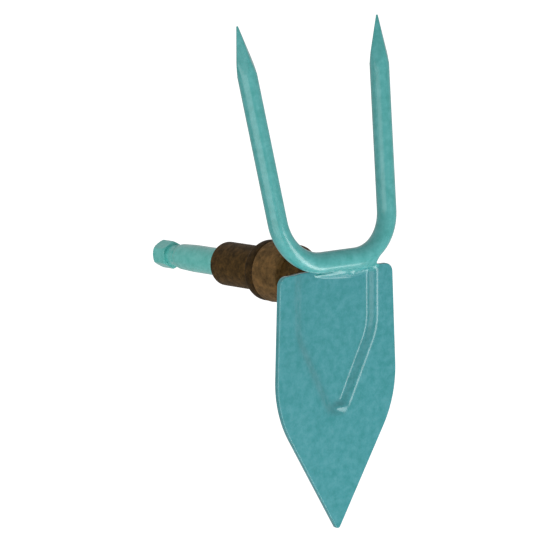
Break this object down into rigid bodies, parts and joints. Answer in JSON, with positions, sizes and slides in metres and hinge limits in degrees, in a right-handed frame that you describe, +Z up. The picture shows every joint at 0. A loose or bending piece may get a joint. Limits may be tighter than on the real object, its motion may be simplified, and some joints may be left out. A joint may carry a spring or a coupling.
{
  "type": "two-prong hoe head",
  "caption": "Teal-painted hand-tool head: a pointed garden hoe blade below and a two-prong fork above, on a tang for a change handle.",
  "frame": {"origin": "on the tang's axis, where the end of the handle's tube seats on the stop ring", "axes": "+Y back along the tang towards the handle, +Z up along the fork, +X to the right as seen from in front of the blade"},
  "size_m": [0.0894, 0.1486, 0.2418],
  "materials": {
    "teal_paint": "gloss",
    "brown_steel": "satin",
    "brown_collar": "satin"
  },
  "bodies": {
    "root": {"blade": "teal_paint", "fork": "teal_paint", "tang": "teal_paint", "handle_bush": "brown_steel", "stop_ring": "brown_steel", "collar": "brown_collar", "front_weld": "teal_paint", "tang_weld": "teal_paint", "saddle_weld": "teal_paint"}
  },
  "joints": []
}
